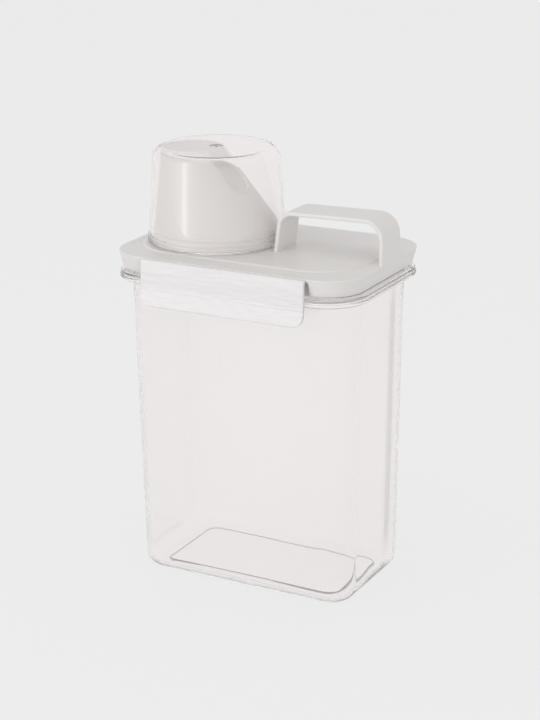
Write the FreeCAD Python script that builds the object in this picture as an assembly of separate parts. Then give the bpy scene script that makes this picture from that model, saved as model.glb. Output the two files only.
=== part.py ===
# Laundry powder container: a clear tub, a white clip-down lid with a pouring spout and a
# carrying handle, a silicone seal, two long edge latches and a clear measuring cup that is
# pushed over the spout.  Millimetres, +Z up, the tub stands on z = 0 at the middle of its foot.
# X runs along the long side, with the spout at -X and the handle at +X.
import FreeCAD, Part
import math
import os
from FreeCAD import Vector

# ---------------------------------------------------------------- tub
TUB_LENGTH = 148.0          # outside, at the foot
TUB_DEPTH = 86.6
TUB_CORNER = 16.5
TUB_HEIGHT = 205.8          # top edge of the neck, which presses into the seal
TUB_DRAFT = 3.7             # how much wider each side is at the top than at the foot
TUB_WALL = 2.0
TUB_FLOOR = 2.4
TUB_FOOT_ROUND = 10.0       # outside rounding between wall and floor
PANEL_END_INSET = 13.0      # floor panel, pushed up into the tub so that it stands on its rim
PANEL_SIDE_INSET = 12.9
PANEL_CORNER = 8.0
PANEL_RISE = 1.0

# ---------------------------------------------------------------- tub rim
NECK_HEIGHT = 6.2           # the neck stands this far above the shelf of the rim
RIM_END_REACH = 5.5         # the lower bead stands out this far from the neck, at the ends
RIM_SIDE_REACH = 10.5       # and at the sides, where the latches catch under it
RIM_CORNER = 27.0
RIM_BEAD = 2.5              # height of the lower bead
RIM_GROOVE = 0.7            # height of the groove between the two beads
RIM_GROOVE_DEPTH = 1.0
RIM_PLATE = 1.8             # thickness of the shelf, whose edge is the upper bead
RIM_STEP = 0.6              # the upper bead stands this much inside the lower one
RIM_LIP = 2.6               # thickness of the lip that hangs from the shelf
RIM_BEAD_ROUND = 1.1
RIM_PLATE_ROUND = 0.75

# ---------------------------------------------------------------- lid
LID_END_SETBACK = 0.1       # the lid's edge stands inside the lower bead by this much, at the ends
LID_SIDE_SETBACK = 0.5
LID_CORNER_LESS = 2.0       # the lid's corner is sharper than the rim's by this much
LID_PLATE = 2.2
SKIRT_GAP = 1.4             # daylight between the skirt and the shelf of the rim
SKIRT_TAPER = 2.8           # the skirt leans in by this much towards its lower edge
SKIRT_WALL = 1.5
LID_EDGE_ROUND = 0.6
TOP_PANEL_END_INSET = 5.5   # low raised panel that carries the spout and the handle
TOP_PANEL_SIDE_INSET = 12.0
TOP_PANEL_CORNER = 34.0
TOP_PANEL_RISE = 0.8
TOP_PANEL_SHIFT = -1.5
TOP_PANEL_SLOPE = 3.0       # width of the ramp round it

# ---------------------------------------------------------------- seal
SEAL_HEIGHT = 3.5
SEAL_LIP = 1.2              # height of the narrow lip that meets the neck
SEAL_LIP_WIDTH = 1.1
SEAL_SIDE_GAP = 0.1
RIB_CLEARANCE = 0.5         # between the neck and the two ribs of the lid that straddle it
INNER_RIB_WALL = 1.6
INNER_RIB_DEPTH = 9.0
OUTER_RIB_WALL = 1.0
OUTER_RIB_LIFT = 4.5        # the outer rib stops this far above the shelf of the rim

# ---------------------------------------------------------------- latches
LATCH_END_GAP = 3.1         # the latch stops this far short of the lid's corner
LATCH_WALL = 2.0
LATCH_SHOULDER = 7.0        # the face leans out over this height below the hinge line
CREASE_DROP = 1.4           # crease, below the rim, from where the face leans out as a finger lip
FINGER_LIP = 10.2           # height of the finger lip
LATCH_FLARE = 2.2
LATCH_CORNER = 6.5
LATCH_EDGE_ROUND = 0.5
HINGE_GAP = 0.3             # between the lid's edge and the latch
HINGE_DROP = 0.5            # hinge line, under the top of the lid
RIM_CLEARANCE = 0.35        # between the lower bead and the inside of the latch
HOOK_GAP = 0.3              # between the lower bead and the top of the hook
HOOK_REACH = 2.1            # how far the hook goes under the lower bead
HOOK_HEIGHT = 3.4
HOOK_NOSE = 1.0             # blunt height of the hook's tip
HOOK_END_GAP = 5.0          # the hook stops this far short of each end of the latch
RECESS_SIDE = 1.5           # gap in the skirt beyond each end of the latch
RECESS_DEPTH = 1.5          # behind the lower edge of the skirt

# ---------------------------------------------------------------- spout
COLLAR_HEIGHT = 10.5        # above the edge of the lid
SPOUT_HEIGHT = 56.5
SPOUT_MOUTH_RADIUS = 19.4   # the small end leans towards the outer end of the lid
SPOUT_MOUTH_GAP = 1.15      # between the small end and the inside of the cup
SPOUT_WALL = 1.8
SLOT_SETBACK = 3.0          # how deep the pouring slot cuts into the slanted side
SLOT_LIFT = 23.0            # lowest point of the pouring slot, above the collar
SLOT_END_RADIUS = 15.5
COLLAR_RIB = 0.5            # height of each grip rib round the collar
COLLAR_RIB_FOOT = 1.6       # width of a rib where it stands on the collar
COLLAR_RIB_CREST = 0.7
COLLAR_RIB_PITCH = 2.8
COLLAR_RIB_COUNT = 3

# ---------------------------------------------------------------- measuring cup
CUP_MOUTH_RADIUS = 42.4     # outside, at the open end
CUP_TOP_RADIUS = 39.1       # outside, at the closed end, before its edge is rounded
CUP_HEADROOM = 1.0          # between the spout's mouth and the underside of the cup's closed end
CUP_WALL = 1.8
CUP_EDGE_ROUND = 3.6
CUP_BEAD = 0.9              # how far the bead at the mouth stands out
CUP_BEAD_HEIGHT = 2.6
CUP_BEAD_ROUND = 0.6
GATE_RADIUS = 4.0           # shallow round mark of the gate, in the closed end
GATE_DEPTH = 0.4
GATE_STUB_RADIUS = 0.9
CUP_LIFT_GAP = 0.3          # between the cup's mouth and the lid
CUP_CLEARANCE = 0.35        # between the cup and the collar, all round
CUP_END_GAP = 4.4           # from the cup's bead to the outer end of the lid

# ---------------------------------------------------------------- handle
HANDLE_CUP_GAP = 2.7        # from the cup's bead to the foot of the inner leg
HANDLE_LEAN = 3.4           # the inner leg leans this much towards the middle of the handle
HANDLE_WIDTH = 25.0
HANDLE_HEIGHT = 27.7        # above the edge of the lid
HANDLE_FALL = 1.4           # the grip is lower by this much beside the spout
HANDLE_THICKNESS = 2.5
HANDLE_BEND = 8.5
HANDLE_EDGE_ROUND = 0.7
HANDLE_ROOT = 1.2           # how deep the legs run into the lid plate

# ---------------------------------------------------------------- worked out from the above
OVERRUN = 1.0               # how far a cut runs past a face, and a joined piece into its neighbour
RIM_SHELF_TOP = TUB_HEIGHT - NECK_HEIGHT
RIM_SHELF_UNDER = RIM_SHELF_TOP - RIM_PLATE
RIM_BOTTOM = RIM_SHELF_UNDER - RIM_GROOVE - RIM_BEAD
RIM_LENGTH = TUB_LENGTH + 2 * (TUB_DRAFT + RIM_END_REACH)
RIM_DEPTH = TUB_DEPTH + 2 * (TUB_DRAFT + RIM_SIDE_REACH)
LID_LENGTH = RIM_LENGTH - 2 * LID_END_SETBACK
LID_DEPTH = RIM_DEPTH - 2 * LID_SIDE_SETBACK
LID_CORNER = RIM_CORNER - LID_CORNER_LESS
SKIRT_BOTTOM = RIM_SHELF_TOP + SKIRT_GAP
LID_UNDER = TUB_HEIGHT + SEAL_HEIGHT
LID_TOP = LID_UNDER + LID_PLATE
PANEL_TOP = LID_TOP + TOP_PANEL_RISE
HINGE_Z = LID_TOP - HINGE_DROP
HINGE_Y = LID_DEPTH / 2 + HINGE_GAP
LATCH_LENGTH = LID_LENGTH - 2 * (LID_CORNER + LATCH_END_GAP)
LATCH_INSIDE_Y = RIM_DEPTH / 2 + RIM_CLEARANCE
LATCH_CREASE = RIM_BOTTOM - CREASE_DROP
LATCH_BOTTOM = LATCH_CREASE - FINGER_LIP
HOOK_LENGTH = LATCH_LENGTH - 2 * HOOK_END_GAP
COLLAR_TOP = LID_TOP + COLLAR_HEIGHT
SPOUT_TOP = LID_TOP + SPOUT_HEIGHT
CUP_MOUTH_Z = PANEL_TOP + CUP_LIFT_GAP
CUP_TOP = SPOUT_TOP + CUP_HEADROOM + CUP_WALL
SPOUT_X = CUP_MOUTH_RADIUS + CUP_BEAD + CUP_END_GAP - LID_LENGTH / 2   # axis of collar and cup
HANDLE_LEFT = SPOUT_X + CUP_MOUTH_RADIUS + CUP_BEAD + HANDLE_CUP_GAP
HANDLE_TOP = LID_TOP + HANDLE_HEIGHT


def tub_half_size(z, inset=0.0):
    """Half length, half depth and corner radius of the tub's outside at height z."""
    grow = TUB_DRAFT * z / TUB_HEIGHT
    return (TUB_LENGTH / 2 + grow - inset, TUB_DEPTH / 2 + grow - inset, TUB_CORNER + grow - inset)


def cup_radius(z):
    """Outside radius of the cup's plain wall at height z."""
    share = (z - CUP_MOUTH_Z) / (CUP_TOP - CUP_MOUTH_Z)
    return CUP_MOUTH_RADIUS + (CUP_TOP_RADIUS - CUP_MOUTH_RADIUS) * share


def collar_radius(z):
    """Outside radius of the spout's collar, which follows the inside of the cup."""
    return cup_radius(z) - CUP_WALL - CUP_CLEARANCE


def rounded_rectangle(half_x, half_y, radius, z, centre_x=0.0):
    """Closed wire of four lines and four quarter arcs at height z."""
    quarter = math.sqrt(0.5) * radius
    edges = []
    corners = ((1, 1), (-1, 1), (-1, -1), (1, -1))
    previous = None
    first = None
    for index, (sx, sy) in enumerate(corners):
        cx = sx * (half_x - radius)
        cy = sy * (half_y - radius)
        along_x = Vector(centre_x + sx * half_x, cy, z)
        along_y = Vector(centre_x + cx, sy * half_y, z)
        middle = Vector(centre_x + cx + sx * quarter, cy + sy * quarter, z)
        start, end = (along_x, along_y) if index % 2 == 0 else (along_y, along_x)
        if previous is not None:
            edges.append(Part.LineSegment(previous, start).toShape())
        else:
            first = start
        edges.append(Part.Arc(start, middle, end).toShape())
        previous = end
    edges.append(Part.LineSegment(previous, first).toShape())
    return Part.Wire(edges)


def tapered_block(lower, upper, z_low, z_high, centre_x=0.0):
    """Solid between two rounded rectangles, each (half_x, half_y, radius)."""
    wires = [rounded_rectangle(*lower, z_low, centre_x), rounded_rectangle(*upper, z_high, centre_x)]
    return Part.makeLoft(wires, True, True)


def block(size, z_low, z_high):
    """Straight-sided rounded block."""
    return tapered_block(size, size, z_low, z_high)


def grown(size, amount):
    """The same rounded rectangle, offset outwards by amount."""
    return tuple(value + amount for value in size)


def edges_at_height(shape, z, reach=0.01):
    """Edges that lie in the plane at height z."""
    return [e for e in shape.Edges if abs(e.BoundBox.ZMin - z) < reach and abs(e.BoundBox.ZMax - z) < reach]


def prism_along_x(points, length):
    """Prism of a closed outline of (y, z) points, centred on x = 0."""
    corners = [Vector(-length / 2, y, z) for y, z in points]
    face = Part.Face(Part.makePolygon(corners + corners[:1]))
    return face.extrude(Vector(length, 0, 0))


def make_tub():
    """Clear injection-moulded tub: drafted walls, rounded foot, raised floor panel and rim."""
    outside = tapered_block(tub_half_size(0), tub_half_size(TUB_HEIGHT), 0, TUB_HEIGHT)
    outside = outside.makeFillet(TUB_FOOT_ROUND, edges_at_height(outside, 0))
    inside = tapered_block(tub_half_size(TUB_FLOOR, TUB_WALL),
                           tub_half_size(TUB_HEIGHT + OVERRUN, TUB_WALL), TUB_FLOOR, TUB_HEIGHT + OVERRUN)
    inside = inside.makeFillet(TUB_FOOT_ROUND - TUB_WALL, edges_at_height(inside, TUB_FLOOR))

    shelf = (RIM_LENGTH / 2, RIM_DEPTH / 2, RIM_CORNER)
    bead = block(shelf, RIM_BOTTOM, RIM_BOTTOM + RIM_BEAD)
    bead = bead.makeFillet(RIM_BEAD_ROUND, edges_at_height(bead, RIM_BOTTOM)
                           + edges_at_height(bead, RIM_BOTTOM + RIM_BEAD))
    groove = block(grown(shelf, -RIM_GROOVE_DEPTH), RIM_BOTTOM + RIM_BEAD / 2,
                   RIM_SHELF_UNDER + RIM_PLATE / 2)
    plate = block(grown(shelf, -RIM_STEP), RIM_SHELF_UNDER, RIM_SHELF_TOP)
    plate = plate.makeFillet(RIM_PLATE_ROUND, edges_at_height(plate, RIM_SHELF_UNDER)
                             + edges_at_height(plate, RIM_SHELF_TOP))
    hollow = block(grown(shelf, -RIM_LIP), RIM_BOTTOM - OVERRUN, RIM_SHELF_UNDER)
    rim = bead.fuse([groove, plate]).cut(hollow)

    half_panel = (TUB_LENGTH / 2 - PANEL_END_INSET, TUB_DEPTH / 2 - PANEL_SIDE_INSET, PANEL_CORNER)
    raised = tapered_block(half_panel, grown(half_panel, -PANEL_RISE / 2),
                           TUB_FLOOR - TUB_FLOOR / 4, TUB_FLOOR + PANEL_RISE)
    recess = tapered_block(half_panel, grown(half_panel, -PANEL_RISE / 2), 0, PANEL_RISE)
    shell = outside.fuse(rim).cut(inside)
    return shell.fuse(raised).cut(recess).removeSplitter()


def ring_rib(outline, wall, foot):
    """Upright rib under the lid plate, following a rounded rectangle, down to height foot."""
    rib = block(outline, foot, LID_UNDER + LID_PLATE / 4)
    return rib.cut(block(grown(outline, -wall), foot - OVERRUN, LID_UNDER + OVERRUN))


def inner_rib_outline():
    """Outer face of the rib that hangs inside the neck of the tub."""
    return grown(tub_half_size(TUB_HEIGHT), -TUB_WALL - RIB_CLEARANCE)


def make_lid_cap():
    """Plate and skirt of the lid, with the two ribs that straddle the neck of the tub."""
    top = (LID_LENGTH / 2, LID_DEPTH / 2, LID_CORNER)
    bottom = grown(top, -SKIRT_TAPER)
    outside = tapered_block(bottom, top, SKIRT_BOTTOM, LID_TOP)
    outside = outside.makeFillet(LID_EDGE_ROUND, edges_at_height(outside, LID_TOP))
    inside = tapered_block(grown(bottom, -SKIRT_WALL), grown(top, -SKIRT_WALL), SKIRT_BOTTOM, LID_UNDER)
    cap = outside.cut(inside)

    top_panel = (LID_LENGTH / 2 - TOP_PANEL_END_INSET, LID_DEPTH / 2 - TOP_PANEL_SIDE_INSET,
                 TOP_PANEL_CORNER)
    cap = cap.fuse(tapered_block(top_panel, grown(top_panel, -TOP_PANEL_SLOPE),
                                 LID_TOP - LID_PLATE / 4, PANEL_TOP, TOP_PANEL_SHIFT))

    outer_rib = grown(tub_half_size(TUB_HEIGHT), RIB_CLEARANCE + OUTER_RIB_WALL)
    cap = cap.fuse([ring_rib(inner_rib_outline(), INNER_RIB_WALL, LID_UNDER - INNER_RIB_DEPTH),
                    ring_rib(outer_rib, OUTER_RIB_WALL, RIM_SHELF_TOP + OUTER_RIB_LIFT)])

    # behind each latch the skirt steps in, so that the latch has room and its ends stand clear
    half_recess = LATCH_LENGTH / 2 + RECESS_SIDE
    face_y = LID_DEPTH / 2 - SKIRT_TAPER - RECESS_DEPTH
    back_wall = Part.makeBox(2 * (half_recess + SKIRT_WALL), LID_DEPTH,
                             LID_UNDER - SKIRT_BOTTOM + LID_PLATE / 4,
                             Vector(-half_recess - SKIRT_WALL, face_y - SKIRT_WALL, SKIRT_BOTTOM))
    back_wall = back_wall.common(outside)
    pocket = Part.makeBox(2 * half_recess, LID_DEPTH, LID_UNDER - SKIRT_BOTTOM + OVERRUN,
                          Vector(-half_recess, face_y, SKIRT_BOTTOM - OVERRUN))
    for turn in (0, 180):
        wall, gap = back_wall.copy(), pocket.copy()
        wall.rotate(Vector(0, 0, 0), Vector(0, 0, 1), turn)
        gap.rotate(Vector(0, 0, 0), Vector(0, 0, 1), turn)
        cap = cap.fuse(wall).cut(gap)
    return cap


def turned_about_spout(points):
    """Solid of revolution about the spout's axis, from an outline of (radius, z) points."""
    corners = [Vector(SPOUT_X + radius, 0, z) for radius, z in points]
    face = Part.Face(Part.makePolygon(corners + corners[:1]))
    return face.revolve(Vector(SPOUT_X, 0, 0), Vector(0, 0, 1), 360)


def circle_wire(x, radius, z):
    """Circle in a level plane, centred on the long axis."""
    return Part.Wire(Part.Circle(Vector(x, 0, z), Vector(0, 0, 1), radius).toShape())


def make_spout():
    """Collar with grip ribs, and a slanted funnel that ends in a mouth open towards the handle.
    Returns the solid and the passage to be cut through the lid."""
    foot = LID_TOP - LID_PLATE / 2
    base_radius = collar_radius(COLLAR_TOP) - COLLAR_RIB
    mouth_x = SPOUT_X - (cup_radius(SPOUT_TOP) - CUP_WALL - SPOUT_MOUTH_GAP - SPOUT_MOUTH_RADIUS)
    profile = [(0, COLLAR_TOP), (base_radius, COLLAR_TOP)]
    for index in range(COLLAR_RIB_COUNT):
        z = COLLAR_TOP - COLLAR_RIB_FOOT - index * COLLAR_RIB_PITCH
        for step, rise in ((COLLAR_RIB_FOOT, 0), (COLLAR_RIB_CREST, COLLAR_RIB),
                           (-COLLAR_RIB_CREST, COLLAR_RIB), (-COLLAR_RIB_FOOT, 0)):
            level = z + step / 2
            profile.append((collar_radius(level) - COLLAR_RIB + rise, level))
    profile += [(collar_radius(foot) - COLLAR_RIB, foot), (0, foot)]
    collar = turned_about_spout(profile)
    funnel = Part.makeLoft([circle_wire(SPOUT_X, base_radius, COLLAR_TOP),
                            circle_wire(mouth_x, SPOUT_MOUTH_RADIUS, SPOUT_TOP)], True, True)
    bore_radius = base_radius - SPOUT_WALL
    bore = Part.makeCylinder(bore_radius, COLLAR_TOP - LID_UNDER + OVERRUN,
                             Vector(SPOUT_X, 0, LID_UNDER - OVERRUN))
    # the opening through the plate keeps inside the rib that hangs in the neck
    within_rib = grown(inner_rib_outline(), -INNER_RIB_WALL)
    bore = bore.common(block(within_rib, LID_UNDER - OVERRUN, COLLAR_TOP))
    throat = Part.makeLoft([circle_wire(SPOUT_X, bore_radius, COLLAR_TOP),
                            circle_wire(mouth_x, SPOUT_MOUTH_RADIUS - SPOUT_WALL, SPOUT_TOP)],
                           True, True)

    # the slanted side runs from the collar to the mouth; the slot is cut square to it
    low = Vector(SPOUT_X + base_radius, 0, COLLAR_TOP)
    high = Vector(mouth_x + SPOUT_MOUTH_RADIUS, 0, SPOUT_TOP)
    along = (high - low).normalize()
    outward = Vector(-along.z, 0, along.x).negative()
    start = low - Vector(SLOT_SETBACK, 0, 0)
    foot_point = start + along * (SLOT_LIFT / along.z)
    centre = foot_point + along * SLOT_END_RADIUS
    reach = along * (2 * SPOUT_HEIGHT)
    side = Vector(0, SLOT_END_RADIUS, 0)
    outline = Part.Wire([Part.Arc(centre - side, foot_point, centre + side).toShape(),
                         Part.LineSegment(centre + side, centre + side + reach).toShape(),
                         Part.LineSegment(centre + side + reach, centre - side + reach).toShape(),
                         Part.LineSegment(centre - side + reach, centre - side).toShape()])
    slot = Part.Face(outline).extrude(outward * (4 * SLOT_SETBACK))
    return collar.fuse(funnel).cut(slot), bore.fuse(throat)


def handle_blank(inset, bend):
    """Solid block under the strap's outside, or under its inside when inset by its thickness."""
    foot = LID_TOP - HANDLE_ROOT - OVERRUN
    right = LID_LENGTH / 2 - inset
    left_top = HANDLE_TOP - HANDLE_FALL - inset
    corners = [Vector(HANDLE_LEFT + inset, -HANDLE_WIDTH / 2, foot),
               Vector(HANDLE_LEFT + HANDLE_LEAN + inset, -HANDLE_WIDTH / 2, left_top),
               Vector(right, -HANDLE_WIDTH / 2, HANDLE_TOP - inset),
               Vector(right, -HANDLE_WIDTH / 2, foot)]
    face = Part.Face(Part.makePolygon(corners + corners[:1]))
    blank = face.extrude(Vector(0, HANDLE_WIDTH, 0))
    bends = [e for e in blank.Edges
             if e.BoundBox.YLength > HANDLE_WIDTH / 2 and e.BoundBox.ZMin > foot + OVERRUN]
    return blank.makeFillet(bend, bends)


def make_handle():
    """Carrying strap: one bent band of even thickness, standing on the lid plate."""
    strap = handle_blank(0, HANDLE_BEND).cut(handle_blank(HANDLE_THICKNESS, HANDLE_BEND - HANDLE_THICKNESS))
    foot = LID_TOP - HANDLE_ROOT - OVERRUN
    rounded = [e for e in strap.Edges if e.BoundBox.YLength < OVERRUN and e.BoundBox.ZMax > foot + OVERRUN]
    strap = strap.makeFillet(HANDLE_EDGE_ROUND, rounded)
    above = Part.makeBox(LID_LENGTH, LID_DEPTH, HANDLE_TOP,
                         Vector(-LID_LENGTH / 2, -LID_DEPTH / 2, LID_TOP - HANDLE_ROOT))
    return strap.common(above)


def make_lid():
    """The lid is one moulding: cap, spout and handle."""
    spout, passage = make_spout()
    lid = make_lid_cap().fuse([spout, make_handle()]).cut(passage)
    return lid.removeSplitter()


def make_seal():
    """Silicone ring between the two ribs of the lid; its narrow lip presses on the tub's neck."""
    neck = tub_half_size(TUB_HEIGHT)
    middle = grown(neck, -TUB_WALL / 2)
    half_width = TUB_WALL / 2 + RIB_CLEARANCE - SEAL_SIDE_GAP
    body = block(grown(middle, half_width), TUB_HEIGHT + SEAL_LIP, TUB_HEIGHT + SEAL_HEIGHT)
    body = body.cut(block(grown(middle, -half_width), TUB_HEIGHT, LID_TOP))
    lip = block(grown(middle, SEAL_LIP_WIDTH / 2), TUB_HEIGHT, TUB_HEIGHT + SEAL_LIP)
    lip = lip.cut(block(grown(middle, -SEAL_LIP_WIDTH / 2), TUB_HEIGHT - 1, LID_TOP))
    return body.fuse(lip).removeSplitter()


def latch_face_y(z):
    """Y of the latch's outer face at height z."""
    face = -LATCH_INSIDE_Y - LATCH_WALL
    if z > HINGE_Z - LATCH_SHOULDER:
        return face + (LATCH_INSIDE_Y - HINGE_Y) * (z - HINGE_Z + LATCH_SHOULDER) / LATCH_SHOULDER
    return face - LATCH_FLARE * max(0, LATCH_CREASE - z) / (LATCH_CREASE - LATCH_BOTTOM)


def on_latch_face(edge):
    """Whether both ends and the middle of an edge lie on the latch's outer face."""
    spots = [edge.valueAt(edge.FirstParameter + share * (edge.LastParameter - edge.FirstParameter))
             for share in (0, 0.5, 1)]
    return all(abs(spot.y - latch_face_y(spot.z)) < 0.01 for spot in spots)


def make_latch():
    """Front latch: a long flap hung from the lid's edge, with a hook that goes under the rim and
    a finger lip below the crease."""
    inside = -LATCH_INSIDE_Y
    top_inside = -HINGE_Y
    shoulder_z = HINGE_Z - LATCH_SHOULDER
    profile = [(top_inside, HINGE_Z), (inside, shoulder_z), (inside, LATCH_CREASE),
               (inside - LATCH_FLARE, LATCH_BOTTOM), (inside - LATCH_FLARE - LATCH_WALL, LATCH_BOTTOM),
               (inside - LATCH_WALL, LATCH_CREASE), (inside - LATCH_WALL, shoulder_z),
               (top_inside - LATCH_WALL, HINGE_Z)]
    flap = prism_along_x(profile, LATCH_LENGTH)
    # round the two lower corners, seen from the front
    outline = Part.makeBox(LATCH_LENGTH, LID_DEPTH, HINGE_Z - LATCH_BOTTOM + OVERRUN,
                           Vector(-LATCH_LENGTH / 2, -LID_DEPTH, LATCH_BOTTOM))
    corners = [e for e in outline.Edges
               if e.BoundBox.YLength > LID_DEPTH / 2 and e.BoundBox.ZMax < LATCH_BOTTOM + OVERRUN
               and abs(e.BoundBox.ZMax - e.BoundBox.ZMin) < OVERRUN]
    flap = flap.common(outline.makeFillet(LATCH_CORNER, corners))
    # soften the two ends and the lower edge of the outer face
    border = [e for e in flap.Edges if on_latch_face(e)
              and (e.BoundBox.ZLength > 0.01 or e.BoundBox.ZMin < LATCH_BOTTOM + 0.01)]
    flap = flap.makeFillet(LATCH_EDGE_ROUND, border)
    hook_top = RIM_BOTTOM - HOOK_GAP
    tip = -RIM_DEPTH / 2 + HOOK_REACH
    root = inside - LATCH_WALL / 4
    hook = prism_along_x([(root, hook_top), (tip, hook_top), (tip, hook_top - HOOK_NOSE),
                          (inside, hook_top - HOOK_HEIGHT), (root, hook_top - HOOK_HEIGHT)], HOOK_LENGTH)
    return flap.fuse(hook).removeSplitter()


def make_cup():
    """Clear measuring cup, upside down over the spout, with a bead round its mouth."""
    bead_top = CUP_MOUTH_Z + CUP_BEAD_HEIGHT
    mouth = Vector(SPOUT_X, 0, CUP_MOUTH_Z)
    outside = Part.makeCone(CUP_MOUTH_RADIUS, CUP_TOP_RADIUS, CUP_TOP - CUP_MOUTH_Z, mouth)
    outside = outside.makeFillet(CUP_EDGE_ROUND, edges_at_height(outside, CUP_TOP))
    bead = Part.makeCylinder(CUP_MOUTH_RADIUS + CUP_BEAD, CUP_BEAD_HEIGHT, mouth)
    bead = bead.makeFillet(CUP_BEAD_ROUND, edges_at_height(bead, CUP_MOUTH_Z)
                           + edges_at_height(bead, bead_top))
    inner_top = CUP_TOP - CUP_WALL
    inside = Part.makeCone(cup_radius(CUP_MOUTH_Z) - CUP_WALL, cup_radius(inner_top) - CUP_WALL,
                           inner_top - CUP_MOUTH_Z, mouth)
    inside = inside.makeFillet(CUP_EDGE_ROUND - CUP_WALL, edges_at_height(inside, inner_top))
    gate_floor = Vector(SPOUT_X, 0, CUP_TOP - GATE_DEPTH)
    gate = Part.makeCylinder(GATE_RADIUS, GATE_DEPTH + OVERRUN, gate_floor)
    gate = gate.cut(Part.makeCylinder(GATE_STUB_RADIUS, GATE_DEPTH, gate_floor))
    return outside.fuse(bead).cut(inside).cut(gate).removeSplitter()


def main():
    os.makedirs("parts", exist_ok=True)
    front_latch = make_latch()
    nodes = {
        "tub": make_tub(),
        "lid": make_lid(),
        "lid_seal": make_seal(),
        "front_latch": front_latch,
        "back_latch": front_latch.mirror(Vector(0, 0, 0), Vector(0, 1, 0)),
        "measuring_cup": make_cup(),
    }
    for name, shape in nodes.items():
        volume = round(shape.Volume / 1000, 2)
        print(name, "solids", len(shape.Solids), "valid", shape.isValid(), "cm3", volume)
        shape.Solids[0].exportStep("parts/" + name + ".step")


main()
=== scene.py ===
import bmesh
import bpy
import numpy as np
from mathutils import Matrix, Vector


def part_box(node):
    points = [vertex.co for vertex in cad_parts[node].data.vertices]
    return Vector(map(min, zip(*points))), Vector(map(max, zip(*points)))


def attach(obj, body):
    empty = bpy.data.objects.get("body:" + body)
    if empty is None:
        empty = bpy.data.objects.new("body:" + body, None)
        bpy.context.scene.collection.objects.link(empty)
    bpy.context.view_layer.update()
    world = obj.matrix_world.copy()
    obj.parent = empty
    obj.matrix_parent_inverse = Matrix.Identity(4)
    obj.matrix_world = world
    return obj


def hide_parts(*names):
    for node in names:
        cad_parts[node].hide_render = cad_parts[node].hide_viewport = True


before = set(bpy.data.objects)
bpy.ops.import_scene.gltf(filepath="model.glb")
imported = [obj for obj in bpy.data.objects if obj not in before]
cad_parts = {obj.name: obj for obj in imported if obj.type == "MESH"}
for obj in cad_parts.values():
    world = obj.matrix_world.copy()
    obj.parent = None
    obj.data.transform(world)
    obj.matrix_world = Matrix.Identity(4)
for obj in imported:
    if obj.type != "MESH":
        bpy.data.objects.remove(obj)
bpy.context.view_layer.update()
MM = 0.001


# ---------------------------------------------------------------- tub
# The tub is one injection moulding in clear plastic, with drafted walls, a rounded foot, a
# floor panel pushed up inside and a double-beaded rim.  Its whole section, outside and inside,
# is one closed profile carried round a rounded rectangle.
tub_high = np.array(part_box("tub")[1]) / MM
TUB_TOP = tub_high[2]
TUB_DRAFT = 3.7
TUB_WALL = 2.0
TUB_FLOOR = 2.4
FOOT_ROUND = 10.0
PANEL_RISE = 1.0
SHELF_TOP = TUB_TOP - 6.2
SHELF_UNDER = SHELF_TOP - 1.8
BEAD_TOP = SHELF_UNDER - 0.7
RIM_BOTTOM = BEAD_TOP - 2.5
RIM_HALF = np.array([tub_high[0], tub_high[1], 27.0])     # half length, half depth, corner radius
NECK_HALF = np.array([77.7, 47.0, 20.2])
FOOT_FLAT_HALF = NECK_HALF - TUB_DRAFT - FOOT_ROUND
PANEL_HALF = np.array([61.0, 30.4, 8.0])
RIM_REACH = 10.5                                     # rim edge, measured out from the neck
RIM_LIP_WALL = 2.6
RIM_GROOVE_DEPTH = 1.05
SHELF_INSET = 0.6
PANEL_REACH = -15.3
PANEL_CORE = 26.0                                    # from the panel's edge in to its flat middle
FOOT_FLAT_REACH = -TUB_DRAFT - FOOT_ROUND


def softened(points, radii, steps=5, closed=False, support=0.35):
    """Outline through the given points, where each corner is an arc of its own radius.
    An arc runs between the two tangent points, and one more point beside each end of it
    keeps the flat stretches flat when they are smoothly shaded."""
    points, radii = np.asarray(points, float), np.array(radii, float)
    if not closed:
        radii[[0, -1]] = 0
    back, ahead = np.roll(points, 1, 0) - points, np.roll(points, -1, 0) - points
    long_back, long_ahead = np.linalg.norm(back, axis=1), np.linalg.norm(ahead, axis=1)
    back, ahead = back / long_back[:, None], ahead / long_ahead[:, None]
    half = np.arccos(np.clip((back * ahead).sum(1), -1, 1)) / 2
    wanted = np.where((radii > 0) & (half < 1.56), radii / np.tan(half), 0)
    room_back = long_back * wanted / np.maximum(wanted + np.roll(wanted, 1), 1e-9)
    room_ahead = long_ahead * wanted / np.maximum(wanted + np.roll(wanted, -1), 1e-9)
    tangents = np.minimum(wanted, 0.95 * np.minimum(room_back, room_ahead))
    spare = np.minimum(long_back - tangents - np.roll(tangents, 1),
                       long_ahead - tangents - np.roll(tangents, -1))
    out = []
    for here, back, ahead, half, tangent, room in zip(points, back, ahead, half, tangents, spare):
        if tangent == 0:
            out.append(here[None])
            continue
        radius = tangent * np.tan(half)
        middle = here + (back + ahead) / np.linalg.norm(back + ahead) * radius / np.sin(half)
        start, end = here + back * tangent - middle, here + ahead * tangent - middle
        sweep = np.pi - 2 * half
        share = np.linspace(0, 1, steps + 1)[:, None]
        arc = middle + (np.sin((1 - share) * sweep) * start + np.sin(share * sweep) * end) / np.sin(sweep)
        beside = min(support, room * 0.45)
        out += [here + back[None] * (tangent + beside), arc, here + ahead[None] * (tangent + beside)]
    return np.vstack(out)


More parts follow.
